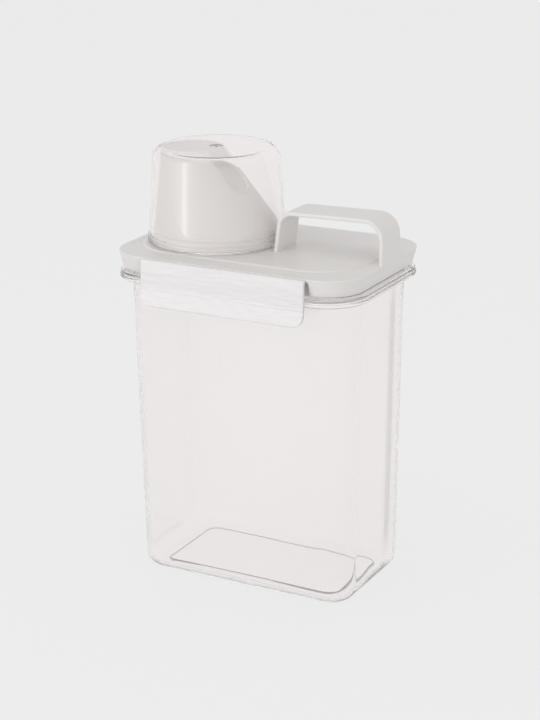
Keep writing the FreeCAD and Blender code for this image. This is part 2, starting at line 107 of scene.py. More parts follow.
def rectangle_track(arc_steps, long_shares, short_shares):
    """Pattern of a rounded rectangle with four numbers a point: two weights on the place of the
    corner's centre, and the two parts of the direction out from it."""
    quarter = np.linspace(0, np.pi / 2, arc_steps + 1)
    columns = []
    for turn in range(4):
        angle = quarter + turn * np.pi / 2
        sx, sy = np.sign(np.cos(np.pi / 4 + turn * np.pi / 2)), np.sign(np.sin(np.pi / 4 + turn * np.pi / 2))
        columns.append(np.stack([np.full_like(angle, sx), np.full_like(angle, sy),
                                 np.cos(angle), np.sin(angle)]))
        shares = np.asarray(long_shares if turn % 2 == 0 else short_shares)
        side = np.ones((4, len(shares))) * np.array([sx, sy, np.cos(angle[-1]), np.sin(angle[-1])])[:, None]
        side[turn % 2] *= 1 - 2 * shares
        columns.append(side)
    return np.hstack(columns)


def carried_round(track, sizes, z, centre_x=0.0):
    """Grid of points in millimetres: each row is the track at one size and height."""
    a, b, r = (np.asarray(v, float)[:, None] for v in np.asarray(sizes, float).T)
    x = centre_x + track[0] * (a - r) + track[2] * r
    y = track[1] * (b - r) + track[3] * r
    return np.stack([x, y, np.broadcast_to(np.asarray(z, float)[:, None], x.shape)], -1)


def skinned(name, grids, body, node, sharp=40):
    """Mesh object from one or more closed grids (rows by columns), each closed round its columns
    and, when its flag is set, round its rows too; open ends get a flat cap."""
    points, faces, start = [], [], 0
    for grid, wraps in grids:
        rows, around = grid.shape[:2]
        index = np.arange(rows * around).reshape(rows, around) + start
        low = index if wraps else index[:-1]
        high = np.roll(index, -1, 0) if wraps else index[1:]
        quads = np.stack([low, np.roll(low, -1, 1), np.roll(high, -1, 1), high], -1)
        faces += quads.reshape(-1, 4).tolist()
        if not wraps:
            faces += [index[0, ::-1].tolist(), index[-1].tolist()]
        points.append(grid.reshape(-1, 3))
        start += rows * around
    mesh = bpy.data.meshes.new(name)
    mesh.from_pydata(np.vstack(points) * MM, [], faces)
    work = bmesh.new()
    work.from_mesh(mesh)
    bmesh.ops.remove_doubles(work, verts=work.verts, dist=0.004 * MM)
    bmesh.ops.recalc_face_normals(work, faces=work.faces)
    work.to_mesh(mesh)
    work.free()
    mesh.shade_smooth()
    mesh.set_sharp_from_angle(angle=np.radians(sharp))
    piece = bpy.data.objects.new(name, mesh)
    bpy.context.scene.collection.objects.link(piece)
    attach(piece, body)
    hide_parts(node)
    return piece


def tub_size(reach):
    """Half length, half depth and corner radius at a reach measured out from the neck."""
    stops = [PANEL_REACH - PANEL_CORE, PANEL_REACH - 1, PANEL_REACH, FOOT_FLAT_REACH, 0,
             RIM_REACH - 3, RIM_REACH]
    table = np.array([PANEL_HALF - PANEL_CORE, PANEL_HALF - 1, PANEL_HALF, FOOT_FLAT_HALF, NECK_HALF,
                      RIM_HALF - 3, RIM_HALF])
    table[0, 2] = 1.0
    return np.stack([np.interp(reach, stops, column) for column in table.T], -1)


def wall_reach(z, inset=0.0):
    """Reach of the drafted wall at height z."""
    return TUB_DRAFT * (z / TUB_TOP - 1) - inset


lip_inside = RIM_REACH - RIM_LIP_WALL
tub_section = np.array([
    (PANEL_REACH - 0.5, PANEL_RISE, 0.3), (PANEL_REACH, 0, 0.3),
    (-TUB_DRAFT, 0, FOOT_ROUND), (wall_reach(SHELF_UNDER), SHELF_UNDER, 0.5),
    (lip_inside, SHELF_UNDER, 0.3), (lip_inside, RIM_BOTTOM, 0.3),
    (RIM_REACH, RIM_BOTTOM, 1.1), (RIM_REACH, BEAD_TOP, 1.1),
    (RIM_REACH - RIM_GROOVE_DEPTH, BEAD_TOP, 0.1), (RIM_REACH - RIM_GROOVE_DEPTH, SHELF_UNDER, 0.1),
    (RIM_REACH - SHELF_INSET, SHELF_UNDER, 0.75), (RIM_REACH - SHELF_INSET, SHELF_TOP, 0.75),
    (wall_reach(SHELF_TOP), SHELF_TOP, 0.5), (0, TUB_TOP, 0.5),
    (-TUB_WALL, TUB_TOP, 0.5), (wall_reach(TUB_FLOOR, TUB_WALL), TUB_FLOOR, FOOT_ROUND - TUB_WALL),
    (PANEL_REACH, TUB_FLOOR, 0.3), (PANEL_REACH - 0.5, TUB_FLOOR + PANEL_RISE, 0.3)])
panel_middle = PANEL_REACH - PANEL_CORE
tub_line = softened([(panel_middle, PANEL_RISE), *tub_section[:, :2], (panel_middle, TUB_FLOOR + PANEL_RISE)],
                    [0, *tub_section[:, 2], 0], steps=7)
tall = np.abs(np.diff(tub_line[:, 1])) > TUB_TOP / 2
filled = [np.linspace(a, b, 13)[:-1] if is_tall else a[None]
          for a, b, is_tall in zip(tub_line[:-1], tub_line[1:], tall)]
tub_line = np.vstack([*filled, tub_line[-1:]])
tub_track = rectangle_track(30, [0.004, *np.linspace(0, 1, 25)[1:-1], 0.996],
                            [0.008, *np.linspace(0, 1, 19)[1:-1], 0.992])
tub_grid = carried_round(tub_track, tub_size(tub_line[:, 0]), tub_line[:, 1])

# inside, the wall thickens smoothly towards the four corners, but not at the foot and the rim
CORNER_EXTRA = 0.55
CORNER_SPREAD = 0.7                                  # part of each side over which it fades
from_corner = (1 - np.abs(tub_track[:2])).max(0)
thicker = 0.5 + 0.5 * np.cos(np.pi * np.minimum(from_corner / CORNER_SPREAD, 1))
inside_wall = tub_line[:, 0] < wall_reach(tub_line[:, 1]) - TUB_WALL / 2
at_height = np.interp(tub_line[:, 1], [6.0, 14.0, SHELF_UNDER - 8.0, SHELF_UNDER], [0, 1, 1, 0]) * inside_wall
tub_grid[..., :2] -= CORNER_EXTRA * at_height[:, None, None] * thicker[None, :, None] * tub_track[2:].T[None]
tub = skinned("clear_tub", [(tub_grid, False)], "container", "tub")


# ---------------------------------------------------------------- lid
# The lid is one moulding in white plastic: plate and skirt, two ribs that straddle the neck,
# a collar with grip ribs, a slanted funnel with a pouring slot, and the carrying strap.  The
# first part is one closed surface carried round the axis of the spout.
lid_high = np.array(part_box("lid")[1]) / MM
LID_HALF = np.array([lid_high[0], 57.0, 25.0])
SEAL_HEIGHT = 3.5
LID_PLATE = 2.2
LID_UNDER = TUB_TOP + SEAL_HEIGHT
LID_TOP = LID_UNDER + LID_PLATE
PANEL_TOP = LID_TOP + 0.8
SKIRT_BOTTOM = SHELF_TOP + 1.4
SKIRT_TAPER = 2.8
cup_low, cup_high = np.array(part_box("measuring_cup")) / MM
SPOUT_X = (cup_low[0] + cup_high[0]) / 2
SPOUT_TOP = lid_high[2]
COLLAR_TOP = LID_TOP + 10.5
SPOUT_WALL = 1.8
CUP_WALL = 1.8
CUP_MOUTH_RADIUS = 42.4
CUP_TOP_RADIUS = 39.1
COLLAR_GAP = 0.35                                    # from the cup's inside to the collar's ribs
COLLAR_RIB_RISE = 0.5
RIB_PITCH = 2.8


def cup_radius(z):
    """Outside radius of the cup's plain wall at height z."""
    share = (z - cup_low[2]) / (cup_high[2] - cup_low[2])
    return CUP_MOUTH_RADIUS + (CUP_TOP_RADIUS - CUP_MOUTH_RADIUS) * share


def collar_radius(z):
    """Radius of the crests of the collar's ribs, which follow the inside of the cup."""
    return cup_radius(z) - CUP_WALL - COLLAR_GAP


def out_to_rectangle(angle, half_x, half_y, radius, centre_x=0.0):
    """Distance from the spout's axis to a rounded rectangle in each direction: to the nearer
    side, or to the corner's circle where the side would end beyond it."""
    dx, dy = np.cos(angle), np.sin(angle)
    start = SPOUT_X - centre_x
    with np.errstate(divide="ignore"):
        to_end = (np.sign(dx) * half_x - start) / np.where(np.abs(dx) < 1e-9, 1e-9, dx)
        to_side = half_y / np.maximum(np.abs(dy), 1e-9)
    reach = np.minimum(to_end, to_side)
    x, y = start + reach * dx, reach * dy
    corner = (np.abs(x) > half_x - radius) & (np.abs(y) > half_y - radius)
    cx, cy = np.sign(x) * (half_x - radius) - start, np.sign(y) * (half_y - radius)
    along = cx * dx + cy * dy
    chord = np.sqrt(np.maximum(radius ** 2 - (cx ** 2 + cy ** 2 - along ** 2), 0))
    return np.where(corner, along + chord, reach)


def rays(*stretches):
    """Directions round the axis, from 0 to 180 degrees in stretches of (end, step), mirrored."""
    angles, start = [], 0.0
    for end, step in stretches:
        angles.append(np.linspace(start, end, max(2, int(round((end - start) / step)) + 1))[:-1])
        start = end
    half = np.concatenate(angles + [[180.0]])
    return np.radians(np.concatenate([half, 360 - half[-2:0:-1]]))


RECESS_HALF = 56.5                                   # the skirt steps in behind each latch
RECESS_DEPTH = 1.5
SKIRT_WALL = 1.5
recess_right = np.degrees(np.arctan2(LID_HALF[1], RECESS_HALF - SPOUT_X))
recess_left = np.degrees(np.arctan2(LID_HALF[1], -RECESS_HALF - SPOUT_X))
angle = rays((15, 2.5), (24, 1.1), (recess_right - 0.05, 0.7), (recess_right + 0.05, 0.1), (40, 0.7),
             (recess_left - 0.05, 2.8), (recess_left + 0.05, 0.1), (146, 1.9), (180, 2.8))
ray = np.stack([np.cos(angle), np.sin(angle)], -1)


def on_axis(reach, z):
    """Ring of points at a reach from the spout's axis; reach and z may change round the ring."""
    reach, z = np.broadcast_to(reach, angle.shape), np.broadcast_to(z, angle.shape)
    return np.column_stack([SPOUT_X + reach * ray[:, 0], reach * ray[:, 1], z])


# where the rays meet the lid's edge, as corner weights and a direction out
edge = out_to_rectangle(angle, *LID_HALF)[:, None] * ray + [SPOUT_X, 0]
flat = LID_HALF[:2] - LID_HALF[2]
hub = np.clip(edge, -flat, flat)
lean = (edge - hub) / np.linalg.norm(edge - hub, axis=1)[:, None]
lid_track = np.vstack([(hub / flat).T, lean.T])
RECESS_Y = LID_HALF[1] - SKIRT_TAPER - RECESS_DEPTH
in_recess = np.abs(edge[:, 0]) < RECESS_HALF + 0.01


def skirt_ring(offset, z, recess=None):
    """Ring that follows the lid's edge, moved out by offset; behind the latches it steps in."""
    size = LID_HALF + offset
    ring = carried_round(lid_track, [size], [z])[0]
    if recess is not None:
        ring[in_recess, 1] = np.clip(ring[in_recess, 1], -recess, recess)
    return ring


# funnel: straight lines between the collar's circle and the smaller mouth, cut by the slot
MOUTH_RADIUS = 19.4
MOUTH_GAP = 1.15                                     # from the cup's inside to the mouth
base_radius = collar_radius(COLLAR_TOP) - COLLAR_RIB_RISE
mouth_x = SPOUT_X - (cup_radius(SPOUT_TOP) - CUP_WALL - MOUTH_GAP - MOUTH_RADIUS)
SLOT_SETBACK = 3.0
SLOT_FOOT = COLLAR_TOP + 23.0
SLOT_END_RADIUS = 15.5


def funnel(share, inset):
    """Point on the funnel's wall for each ray, at a share of its height, inset from the outside."""
    share = np.broadcast_to(share, angle.shape)[:, None]
    low = np.column_stack([SPOUT_X + (base_radius - inset) * ray[:, 0], (base_radius - inset) * ray[:, 1],
                           np.full(len(angle), COLLAR_TOP)])
    high = np.column_stack([mouth_x + (MOUTH_RADIUS - inset) * ray[:, 0], (MOUTH_RADIUS - inset) * ray[:, 1],
                            np.full(len(angle), SPOUT_TOP)])
    return low * (1 - share) + high * share


slant_foot = SPOUT_X + base_radius
slant = (mouth_x + MOUTH_RADIUS - slant_foot) / (SPOUT_TOP - COLLAR_TOP)     # x per unit of height
slant_length = np.hypot(1, slant)


def in_slot(point):
    """True where a point lies outside the slot's plane, inside its sides and above its round foot."""
    depth = slant_foot + slant * (point[..., 2] - COLLAR_TOP) - point[..., 0]
    up = (point[..., 2] - SLOT_FOOT) * slant_length
    across = np.abs(point[..., 1])
    foot = SLOT_END_RADIUS - np.sqrt(np.maximum(SLOT_END_RADIUS ** 2 - across ** 2, 0))
    return (depth < SLOT_SETBACK) & (across < SLOT_END_RADIUS) & (up > foot)


shares = np.linspace(0, 1, 801)
inside_slot = in_slot(np.stack([funnel(s, SPOUT_WALL / 2) for s in shares]))
slot_edge = shares[np.where(inside_slot.any(0), inside_slot.argmax(0), len(shares) - 1)]
smooth = np.ones(5) / 5
slot_edge = np.convolve(np.concatenate([slot_edge[-2:], slot_edge, slot_edge[:2]]), smooth, "valid")

lip = 0.6 / (SPOUT_TOP - COLLAR_TOP)
outer_rim, inner_rim = funnel(slot_edge - lip, 0), funnel(slot_edge - lip, SPOUT_WALL)
outer_up = funnel(slot_edge, 0) - outer_rim
bend = np.linspace(0, np.pi, 9)[:, None, None]
rim_rows = ((outer_rim + inner_rim) / 2 + (inner_rim - outer_rim) / 2 * np.cos(bend)
            + outer_up * np.sin(bend))
climb = np.concatenate([[0, 0.02], np.linspace(0.1, 0.9, 9), [0.97]])
bore = np.minimum(base_radius - SPOUT_WALL, out_to_rectangle(angle, *(NECK_HALF - 4.1)) - 0.02)
funnel_inside = [funnel((slot_edge - lip) * s, SPOUT_WALL) for s in climb]
funnel_outside = [funnel((slot_edge - lip) * s, 0) for s in climb[::-1]]

collar_points = [(base_radius, COLLAR_TOP)]
for index in range(3):
    level = COLLAR_TOP - 1.6 - index * RIB_PITCH
    for step, sunk in ((0.8, COLLAR_RIB_RISE), (0.35, 0), (-0.35, 0), (-0.8, COLLAR_RIB_RISE)):
        collar_points.append((collar_radius(level + step) - sunk, level + step))
collar_foot = collar_radius(PANEL_TOP) - COLLAR_RIB_RISE
collar_points += [(collar_foot, PANEL_TOP), (collar_foot + 3, PANEL_TOP)]
collar_radii = [0] + [0.15, 0.2, 0.2, 0.15] * 3 + [0.8, 0]
collar = softened(collar_points, collar_radii, steps=3, support=0.1)[1:-1]

LID_PANEL_HALF = np.array([LID_HALF[0] - 8.5, LID_HALF[1] - 15.0, 31.0])
LID_PANEL_SLOPE = 1.8
LID_PANEL_X = -1.5
panel_edge = out_to_rectangle(angle, *LID_PANEL_HALF, LID_PANEL_X)
panel_foot = out_to_rectangle(angle, *(LID_PANEL_HALF + LID_PANEL_SLOPE), LID_PANEL_X)
plate_rows = [on_axis(collar_foot + 1.6, PANEL_TOP)]
plate_rows += [on_axis((collar_foot + 1.6) * (1 - s) + panel_edge * s, PANEL_TOP) for s in (0.3, 0.7, 0.94)]
plate_rows += [on_axis(panel_edge * (1 - s) + panel_foot * s,
                       LID_TOP + (PANEL_TOP - LID_TOP) * (0.5 + 0.5 * np.cos(s * np.pi)))
               for s in (0, 0.2, 0.4, 0.6, 0.8, 1)]


def lean_in(z):
    """How far the drafted skirt stands inside the lid's edge at height z."""
    return -SKIRT_TAPER * (LID_TOP - z) / (LID_TOP - SKIRT_BOTTOM)


lid_edge = softened([(-4, LID_TOP), (0, LID_TOP), (lean_in(LID_UNDER + 0.35), LID_UNDER + 0.35)],
                    [0, 0.6, 0], steps=7)[1:]
skirt_rows = [skirt_ring(offset, z) for offset, z in lid_edge]
under_edge = LID_UNDER + 0.05
start = lean_in(under_edge)
skirt_rows += [skirt_ring(start, under_edge + 0.06), skirt_ring(start - 0.2, under_edge),
               skirt_ring(start - 0.2, under_edge, RECESS_Y + 0.3),
               skirt_ring(start - 0.2, under_edge - 0.1, RECESS_Y + 0.05),
               skirt_ring(lean_in(under_edge - 0.4), under_edge - 0.4, RECESS_Y)]
skirt_rows += [skirt_ring(lean_in(z), z, RECESS_Y)
               for z in np.linspace(LID_UNDER - 1.2, SKIRT_BOTTOM + 0.9, 4)]
hem = np.linspace(0, np.pi, 9)
hem_step = SKIRT_WALL / 2 * (np.cos(hem) - 1)
skirt_rows += [skirt_ring(lean_in(SKIRT_BOTTOM) + step, SKIRT_BOTTOM + 0.4 * (1 - np.sin(a)), RECESS_Y + step)
               for a, step in zip(hem, hem_step)]
skirt_rows += [skirt_ring(lean_in(z) - SKIRT_WALL, z, RECESS_Y - SKIRT_WALL)
               for z in (SKIRT_BOTTOM + 1.2, LID_UNDER - 0.8)]
skirt_rows += [skirt_ring(lean_in(LID_UNDER) - SKIRT_WALL - 0.3, LID_UNDER, RECESS_Y - SKIRT_WALL - 0.3)]


def neck_ring(offset, z):
    """Ring that follows the tub's neck under the plate, moved out by offset."""
    return on_axis(out_to_rectangle(angle, *(NECK_HALF + offset)), z)


rib_feet = SHELF_TOP + 4.5, LID_UNDER - 9.0
under_rows = [neck_ring(o, z) for o, z in (
    (1.8, LID_UNDER), (1.5, LID_UNDER - 0.3), (1.5, rib_feet[0] + 0.3), (1.2, rib_feet[0]),
    (0.8, rib_feet[0]), (0.5, rib_feet[0] + 0.3), (0.5, LID_UNDER - 0.3), (0.2, LID_UNDER),
    (-2.2, LID_UNDER), (-2.5, LID_UNDER - 0.3), (-2.5, rib_feet[1] + 0.3), (-2.8, rib_feet[1]),
    (-3.8, rib_feet[1]), (-4.1, rib_feet[1] + 0.3), (-4.1, LID_UNDER - 0.05))]
bore_rows = [on_axis(bore, LID_UNDER), on_axis(bore, LID_UNDER + 0.4), on_axis(bore, COLLAR_TOP - 3)]
cap_grid = np.stack([*bore_rows, *funnel_inside[1:], *rim_rows[::-1], *funnel_outside,
                     *[on_axis(r, z) for r, z in collar], *plate_rows, *skirt_rows, *under_rows])

# carrying strap: a rounded oblong section led along the bent line of the grip
HANDLE_WIDTH = 25.0
HANDLE_THICKNESS = 2.5
HANDLE_TOP = LID_TOP + 27.7
HANDLE_LEFT = cup_high[0] + 2.7
HANDLE_RIGHT = lid_high[0]
HANDLE_BEND = 10.0, 12.5                             # by the spout, and by the lid's end
HANDLE_EDGE_ROUND = 0.7
root = LID_TOP - 1.2
strap_line = softened([(HANDLE_LEFT - 0.9, root), (HANDLE_LEFT - 0.2, PANEL_TOP + 0.2),
                       (HANDLE_LEFT + 0.25, PANEL_TOP + 2.2), (HANDLE_LEFT + 3.4, HANDLE_TOP - 1.4),
                       (HANDLE_RIGHT, HANDLE_TOP), (HANDLE_RIGHT, root)],
                      [0, 0.6, 2.0, *HANDLE_BEND, 0], steps=16, support=1.0)
gaps = np.linalg.norm(np.diff(strap_line, axis=0), axis=1)
strap_line = strap_line[np.concatenate([[True], gaps > 1e-6])]
tangent = np.gradient(strap_line, axis=0)
tangent /= np.linalg.norm(tangent, axis=1)[:, None]
inward = np.stack([tangent[:, 1], -tangent[:, 0]], -1)
oblong = softened([(-HANDLE_WIDTH / 2, 0), (HANDLE_WIDTH / 2, 0), (HANDLE_WIDTH / 2, HANDLE_THICKNESS),
                   (-HANDLE_WIDTH / 2, HANDLE_THICKNESS)], [HANDLE_EDGE_ROUND] * 4, steps=5, closed=True)
strap_grid = np.stack([
    strap_line[:, None, 0] + inward[:, None, 0] * oblong[None, :, 1],
    np.broadcast_to(oblong[None, :, 0], (len(strap_line), len(oblong))),
    strap_line[:, None, 1] + inward[:, None, 1] * oblong[None, :, 1]], -1)
lid = skinned("white_lid", [(cap_grid, True), (strap_grid, False)], "container", "lid")

# painted light: a glow on the inside of the funnel, full up to half its height and gone by 0.8 of it,
# standing in for light through the funnel's wall
spot = np.empty(3 * len(lid.data.vertices), np.float32)
lid.data.vertices.foreach_get("co", spot)
x, y, z = spot.reshape(-1, 3).T / MM
climbed = np.clip((z - COLLAR_TOP) / (SPOUT_TOP - COLLAR_TOP), 0, 1)
from_axis = np.hypot(x - (SPOUT_X + (mouth_x - SPOUT_X) * climbed), y)
within = from_axis < base_radius + (MOUTH_RADIUS - base_radius) * climbed - SPOUT_WALL / 2
funnel_glow = lid.data.attributes.new("painted_funnel_glow", "FLOAT", "POINT")
funnel_glow.data.foreach_set("value", (within & (z > LID_TOP)) * np.interp(climbed, [0.5, 0.8], [1, 0]))


# ---------------------------------------------------------------- seal
# The seal is a silicone ring between the two ribs under the lid; its narrow lip lies on the
# neck of the tub.
seal_section = softened([(-0.45, TUB_TOP), (-0.45, TUB_TOP + 1.2), (0.4, TUB_TOP + 1.2), (0.4, LID_UNDER),
                         (-2.4, LID_UNDER), (-2.4, TUB_TOP + 1.2), (-1.55, TUB_TOP + 1.2), (-1.55, TUB_TOP)],
                        [0.3, 0.2, 0.3, 0.3, 0.3, 0.3, 0.2, 0.3], steps=3, closed=True, support=0.1)
seal_grid = carried_round(rectangle_track(12, np.linspace(0, 1, 7)[1:-1], np.linspace(0, 1, 5)[1:-1]),
                          NECK_HALF + seal_section[:, :1], seal_section[:, 1])
seal = skinned("silicone_seal", [(seal_grid, True)], "container", "lid_seal")


# ---------------------------------------------------------------- latches
# Each latch is a long flap hung from the lid's edge: a short shoulder, a plain face down to the
# crease, and a finger lip that leans out.  A hook behind it goes under the rim.  The profile is
# carried along X, and its lower edge rises round the two corners.
latch_low, latch_high = np.array(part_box("front_latch")) / MM
LATCH_HALF = latch_high[0]
LATCH_BOTTOM = latch_low[2]
HINGE_Z = latch_high[2]
HINGE_Y = LID_HALF[1] + 0.3
FACE_Y = RIM_HALF[1] + 0.35
CREASE = RIM_BOTTOM - 1.4
LATCH_WALL = 2.0
LATCH_FLARE = 2.18
LATCH_CORNER = 6.5
LATCH_SHOULDER = 7.0
LATCH_EDGE_ROUND = 0.5
RIDGE_HEIGHT = 0.22                                  # fine ridge along the crease
RIDGE_SPREAD = 0.5
HOOK_HALF = LATCH_HALF - 5.0
HOOK_TOP = RIM_BOTTOM - 0.3
HOOK_TIP = RIM_HALF[1] - 2.1

face_line = softened([(HINGE_Y, HINGE_Z), (FACE_Y, HINGE_Z - LATCH_SHOULDER), (FACE_Y, CREASE),
                      (FACE_Y + LATCH_FLARE, LATCH_BOTTOM)], [0, 3.0, 3.0, 0], steps=5, support=0.6)
drop = np.unique(np.concatenate([face_line[:, 1], np.linspace(HINGE_Z - 0.5, LATCH_BOTTOM + 0.5, 64)]))[::-1]
drop_share = (HINGE_Z - drop) / (HINGE_Z - LATCH_BOTTOM)
corner_x = LATCH_HALF - LATCH_CORNER * (1 - np.sin(np.linspace(0, np.pi / 2, 16)))
tucked_x = LATCH_HALF - LATCH_EDGE_ROUND * (1 - np.sin(np.linspace(0, np.pi / 2, 6)))
along = np.unique(np.round(np.concatenate([np.linspace(0, corner_x[0], 12), corner_x, tucked_x,
                                           [HOOK_HALF - 0.06, HOOK_HALF + 0.06]]), 4))
along = np.concatenate([-along[:0:-1], along])
past = np.maximum(np.abs(along) - (LATCH_HALF - LATCH_CORNER), 0)
lift = LATCH_CORNER - np.sqrt(np.maximum(LATCH_CORNER ** 2 - past ** 2, 0))


def rounded_off(from_edge):
    """How far a face is pulled in at a distance from an edge with LATCH_EDGE_ROUND."""
    near = 1 - np.clip(from_edge / LATCH_EDGE_ROUND, 0, 1)
    return LATCH_EDGE_ROUND * (1 - np.sqrt(1 - near ** 2))


def latch_grid(side):
    """Closed rows along X.  Each row runs down the outer face, round the lower edge, and up the
    inner face with its hook; the edges are rounded by pulling the outline in near them."""
    z = HINGE_Z - drop_share[None, :] * (HINGE_Z - LATCH_BOTTOM - lift[:, None])
    inner = np.interp(-z, -face_line[:, 1], face_line[:, 0])
    from_end = (LATCH_HALF - np.abs(along))[:, None]
    tuck = np.maximum(np.maximum(rounded_off(from_end), rounded_off(HINGE_Z - z)),
                      rounded_off(z - z[:, -1:]))
    ridge = RIDGE_HEIGHT * np.exp(-((z - CREASE) / RIDGE_SPREAD) ** 2)
    outer = inner + LATCH_WALL + ridge - tuck
    hook = np.interp(-z, [-HOOK_TOP - 0.01, -HOOK_TOP, 1.0 - HOOK_TOP, 3.4 - HOOK_TOP],
                     [0, FACE_Y - HOOK_TIP, FACE_Y - HOOK_TIP, 0], 0, 0)
    hook *= (np.abs(along) < HOOK_HALF)[:, None]
    y = np.hstack([outer, (inner - hook)[:, ::-1]])
    x = np.broadcast_to(along[:, None], y.shape)
    return np.stack([x, side * y, np.hstack([z, z[:, ::-1]])], -1)


front_latch = skinned("front_latch_flap", [(latch_grid(-1), False)], "front_latch_body",
                      "front_latch", 30)
back_latch = skinned("back_latch_flap", [(latch_grid(1), False)], "back_latch_body",
                     "back_latch", 30)


# ---------------------------------------------------------------- measuring cup
# The cup is clear plastic, upside down over the spout: a plain tapered wall, a rounded closed
# end with the mark of the gate at its middle, and a bead round the mouth.  Its section is
# turned about the axis of the spout.
cup_top, cup_mouth = cup_high[2], cup_low[2]
CUP_BEAD = 0.9
CUP_EDGE_ROUND = 5.0
BEAD_GROOVE = 0.8
BEAD_LEVEL = cup_mouth + 2.6
RING_LOW, RING_HIGH = cup_mouth + 4.3, cup_mouth + 5.2
GATE_INSIDE, GATE_OUTSIDE = 0.9, 4.0
GATE_DEPTH = 0.4
bead_radius = CUP_MOUTH_RADIUS + CUP_BEAD
ring_radius = bead_radius - 0.35
groove_radius = bead_radius - BEAD_GROOVE
inner_top = cup_top - CUP_WALL
cup_section = np.array([
    (0.02, cup_top, 0), (GATE_INSIDE, cup_top, 0.12), (GATE_INSIDE, cup_top - GATE_DEPTH, 0.12),
    (GATE_OUTSIDE, cup_top - GATE_DEPTH, 0.12), (GATE_OUTSIDE, cup_top, 0.12),
    (CUP_TOP_RADIUS, cup_top, CUP_EDGE_ROUND),
    (cup_radius(RING_HIGH), RING_HIGH, 0.2), (ring_radius, RING_HIGH, 0.3),
    (ring_radius, RING_LOW, 0.3), (cup_radius(RING_LOW), RING_LOW, 0.1),
    (cup_radius(BEAD_LEVEL), BEAD_LEVEL, 0.3), (bead_radius, BEAD_LEVEL, 0.4),
    (bead_radius, cup_mouth + 1.7, 0.3), (groove_radius, cup_mouth + 1.5, 0.1),
    (groove_radius, cup_mouth + 1.2, 0.1), (bead_radius, cup_mouth + 1.0, 0.3),
    (bead_radius, cup_mouth, 0.4),
    (CUP_MOUTH_RADIUS - CUP_WALL, cup_mouth, 0.5),
    (cup_radius(inner_top) - CUP_WALL, inner_top, CUP_EDGE_ROUND - 1.1), (0.02, inner_top, 0)])
cup_line = softened(cup_section[:, :2], cup_section[:, 2], steps=8)
around = np.linspace(0, 2 * np.pi, 289)[:-1]
cup_grid = np.stack([SPOUT_X + cup_line[:, :1] * np.cos(around), cup_line[:, :1] * np.sin(around),
                     np.repeat(cup_line[:, 1:], len(around), 1)], -1)
cup = skinned("clear_cup", [(cup_grid, False)], "cup_body", "measuring_cup")


# ---------------------------------------------------------------- finishes
# Every finish is moulded plastic or silicone, and all share one node group for the slight unevenness of a
# moulded face; the lid and the two clear pieces also carry a painted glow.
def node(tree, kind, **values):
    """Add a node and set its plain inputs by name."""
    made = tree.nodes.new(kind)
    for key, value in values.items():
        key = key.replace("_", " ")
        if key in made.inputs:
            made.inputs[key].default_value = value
    return made


def moulded_group():
    """Normal and roughness of a moulded face: broad sink, fine grain, and a roughness that
    wanders a little."""
    tree = bpy.data.node_groups.new("moulded_face", "ShaderNodeTree")
    for socket, kind, default in (("Grain Scale", "NodeSocketFloat", 900.0),
                                  ("Grain", "NodeSocketFloat", 0.2),
                                  ("Wave Scale", "NodeSocketFloat", 40.0),
                                  ("Wave", "NodeSocketFloat", 0.1),
                                  ("Roughness", "NodeSocketFloat", 0.4), ("Spread", "NodeSocketFloat", 0.1),
                                  ("Stretch", "NodeSocketVector", (1, 1, 1))):
        tree.interface.new_socket(socket, in_out="INPUT", socket_type=kind).default_value = default
    tree.interface.new_socket("Roughness", in_out="OUTPUT", socket_type="NodeSocketFloat")
    tree.interface.new_socket("Normal", in_out="OUTPUT", socket_type="NodeSocketVector")
    link = tree.links.new
    given, out = tree.nodes.new("NodeGroupInput"), tree.nodes.new("NodeGroupOutput")
    place = tree.nodes.new("ShaderNodeTexCoord")
    wave = node(tree, "ShaderNodeTexNoise", Detail=2.0, Roughness=0.5)
    grain = node(tree, "ShaderNodeTexNoise", Detail=3.0, Roughness=0.6)
    low = node(tree, "ShaderNodeBump", Distance=0.001)
    high = node(tree, "ShaderNodeBump", Distance=0.0001)
    drawn = node(tree, "ShaderNodeVectorMath")
    drawn.operation = "MULTIPLY"
    link(place.outputs["Object"], drawn.inputs[0])
    link(given.outputs["Stretch"], drawn.inputs[1])
    link(drawn.outputs[0], wave.inputs["Vector"])
    link(drawn.outputs[0], grain.inputs["Vector"])
    link(given.outputs["Wave Scale"], wave.inputs["Scale"])
    link(given.outputs["Grain Scale"], grain.inputs["Scale"])
    link(wave.outputs["Fac"], low.inputs["Height"])
    link(given.outputs["Wave"], low.inputs["Strength"])
    link(grain.outputs["Fac"], high.inputs["Height"])
    link(given.outputs["Grain"], high.inputs["Strength"])
    link(low.outputs["Normal"], high.inputs["Normal"])
    link(high.outputs["Normal"], out.inputs["Normal"])
    offset = node(tree, "ShaderNodeMath")
    offset.operation = "SUBTRACT"
    offset.inputs[1].default_value = 0.5
    scaled = node(tree, "ShaderNodeMath")
    scaled.operation = "MULTIPLY_ADD"
    link(wave.outputs["Fac"], offset.inputs[0])
    link(offset.outputs[0], scaled.inputs[0])
    link(given.outputs["Spread"], scaled.inputs[1])
    link(given.outputs["Roughness"], scaled.inputs[2])
    link(scaled.outputs[0], out.inputs["Roughness"])
    return tree


moulded = moulded_group()


def finish(name, piece, colour, **values):
    """Principled material whose roughness and normal come from the moulded-face group; the
    group's inputs are given by name, and the rest are the shader's own."""
    material = bpy.data.materials.new(name)
    material.use_nodes = True
    tree = material.node_tree
    shader = tree.nodes["Principled BSDF"]
    shader.inputs["Base Color"].default_value = (*colour, 1)
    face = tree.nodes.new("ShaderNodeGroup")
    face.node_tree = moulded
    for key, value in values.items():
        key = key.replace("_", " ")
        (face if key in face.inputs else shader).inputs[key].default_value = value
    tree.links.new(face.outputs["Roughness"], shader.inputs["Roughness"])
    tree.links.new(face.outputs["Normal"], shader.inputs["Normal"])
    piece.data.materials.clear()
    piece.data.materials.append(material)
    return tree, shader


